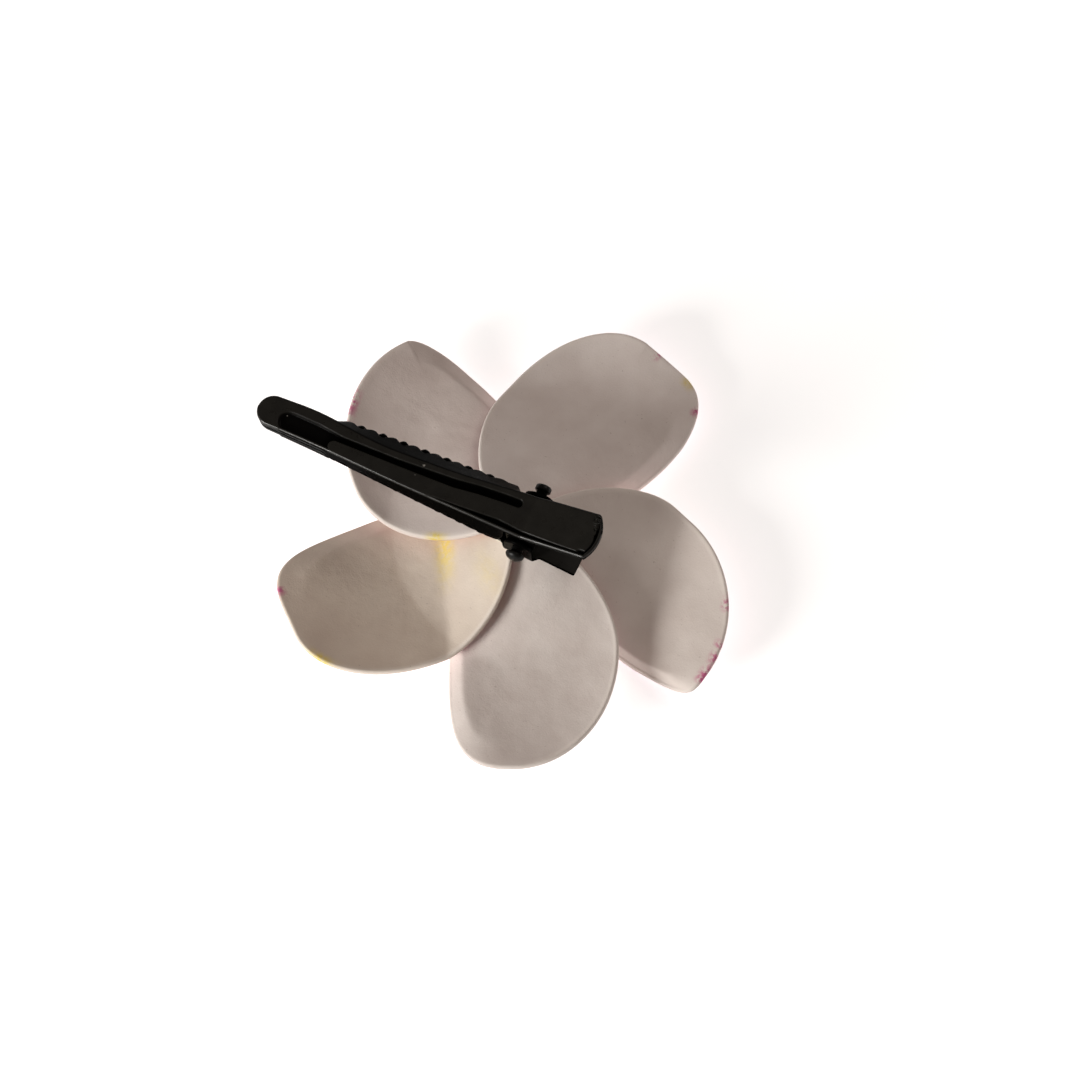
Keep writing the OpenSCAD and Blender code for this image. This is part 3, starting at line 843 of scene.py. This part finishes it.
def glue_material():
    material, nodes, links, shader, place = node_material("glue_set")
    cloud = noise_node(nodes, links, place, 500, 3)
    links.new(ramp(nodes, links, cloud, [(0.3, (0.62, 0.57, 0.46)), (0.7, (0.74, 0.69, 0.58))]),
              shader.inputs["Base Color"])
    shader.inputs["Roughness"].default_value = 0.4
    links.new(bump(nodes, links, cloud, 0.3, 0.0003), shader.inputs["Normal"])
    return material


def steel_material():
    material, nodes, links, shader, place = node_material("spring_steel_wire")
    cloud = noise_node(nodes, links, place, 1200, 4)
    colour = ramp(nodes, links, cloud, [(0.3, grey(0.30)), (0.7, grey(0.42))])
    links.new(colour, shader.inputs["Base Color"])
    rough = ramp(nodes, links, cloud, [(0.3, grey(0.28)), (0.7, grey(0.42))])
    links.new(rough, shader.inputs["Roughness"])
    shader.inputs["Metallic"].default_value = 1.0
    return material


def throat_material():
    material, nodes, links, shader, place = node_material("throat_foam")
    cloud = noise_node(nodes, links, place, 500, 3)
    links.new(ramp(nodes, links, cloud, [(0.3, (0.78, 0.50, 0.05)), (0.7, (0.86, 0.62, 0.12))]),
              shader.inputs["Base Color"])
    shader.inputs["Roughness"].default_value = 0.8
    links.new(bump(nodes, links, cloud, 0.3, 0.0003), shader.inputs["Normal"])
    return material


def give(obj, material):
    obj.data.materials.append(material)


# ------------------------------------------------------------------ assembly
for k in range(5):
    made = petal(k)
    give(made, foam_material(f"petal_foam_{k + 1}", k, PETALS[k]["tint"]))
    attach(made, FLOWER_BODY)
    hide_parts(f"petal_{k + 1}")

black = paint_material("black_enamel")
outer = jaw("outer_jaw_steel", 0.0, 1, 1, False)
give(outer, black)
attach(outer, LEVER_BODY)
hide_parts("outer_jaw")

inner = jaw("inner_jaw_steel", EAR_GAP + STEEL_T, -1, -1, True)
give(inner, black)
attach(inner, FLOWER_BODY)
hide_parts("inner_jaw")

pin = pivot_pin()
give(pin, paint_material("black_pin", (0.004, 0.004, 0.0036)))
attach(pin, FLOWER_BODY)
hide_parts("pivot_pin")

spring, low_y, high_y = torsion_spring()
give(spring, steel_material())
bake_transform(spring)
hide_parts("torsion_spring")

glue_top = PIVOT_ABOVE_VALLEY - PIVOT_H + 0.15
glue = blob("glue_blob", [(0, CENTRE_RISE - 3.2), (3.3, CENTRE_RISE - 3.0), (3.1, CENTRE_RISE - 1.6),
                          (2.9, CENTRE_RISE - 0.4), (2.8, glue_top - 0.4), (2.6, glue_top), (0, glue_top)],
            flower, 5.5, 0.06)
give(glue, glue_material())
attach(glue, FLOWER_BODY)
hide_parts("glue_pad")

throat_low = CENTRE_RISE - PETAL_T - 5.2
throat = blob("throat_plug", [(0, throat_low), (1.4, throat_low + 0.1), (2.4, throat_low + 0.5),
                              (3.1, throat_low + 1.4), (3.2, CENTRE_RISE - 3), (0, CENTRE_RISE - 2.4)],
              flower, 9.5, 0.05)
give(throat, throat_material())
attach(throat, FLOWER_BODY)
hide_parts("flower_core")

# ------------------------------------------------------------------ floor, light and camera
AZIMUTH, ELEVATION = math.radians(22.5), math.radians(73.5)
back = Vector((math.sin(AZIMUTH) * math.cos(ELEVATION), -math.cos(AZIMUTH) * math.cos(ELEVATION),
               math.sin(ELEVATION)))
right = Vector((math.cos(AZIMUTH), math.sin(AZIMUTH), 0))
up = back.cross(right)

low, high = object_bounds()
bpy.ops.mesh.primitive_plane_add(size=6, location=(0, 0, min(cad_low.z, low.z) - 0.05 * MM))
floor = bpy.context.object
floor.name = "floor"
floor_material, nodes, links, shader, place = node_material("pale_floor")
shader.inputs["Base Color"].default_value = (0.93, 0.93, 0.93, 1)
shader.inputs["Roughness"].default_value = 0.9
shader.inputs["Emission Color"].default_value = (1, 1, 1, 1)
shader.inputs["Emission Strength"].default_value = 0.62
give(floor, floor_material)
floor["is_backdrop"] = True

camera = bpy.data.objects.new("camera", bpy.data.cameras.new("camera"))
bpy.context.scene.collection.objects.link(camera)
camera.data.lens = 50
camera.data.sensor_width = 36
camera.data.clip_start = 0.01
CAMERA_DISTANCE = 0.232
aim = flower + right * 4.15 * MM + up * 0.37 * MM
camera.location = aim + back * CAMERA_DISTANCE
camera.rotation_mode = "QUATERNION"
camera.rotation_quaternion = (-back).to_track_quat("-Z", "Y")
bpy.context.scene.camera = camera


def area_light(name, direction, distance, size, power, colour=(1, 1, 1)):
    lamp = bpy.data.lights.new(name, "AREA")
    lamp.shape = "DISK"
    lamp.size = size
    lamp.energy = power
    lamp.color = colour
    made = bpy.data.objects.new(name, lamp)
    bpy.context.scene.collection.objects.link(made)
    made.location = flower + direction.normalized() * distance
    made.rotation_mode = "QUATERNION"
    made.rotation_quaternion = (-direction).to_track_quat("-Z", "Y")


area_light("key", -0.86 * right - 0.38 * up + 0.50 * back, 0.6, 0.22, 3.2, (1.0, 0.98, 0.95))
area_light("fill", 0.55 * right + 0.75 * up + 0.65 * back, 0.9, 0.5, 1.35, (1.0, 0.90, 0.85))

world = bpy.data.worlds.new("studio")
bpy.context.scene.world = world
world.use_nodes = True
world.node_tree.nodes["Background"].inputs["Color"].default_value = (1.0, 0.85, 0.76, 1)
world.node_tree.nodes["Background"].inputs["Strength"].default_value = 0.17
bpy.context.scene.view_settings.view_transform = "Standard"

low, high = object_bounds()
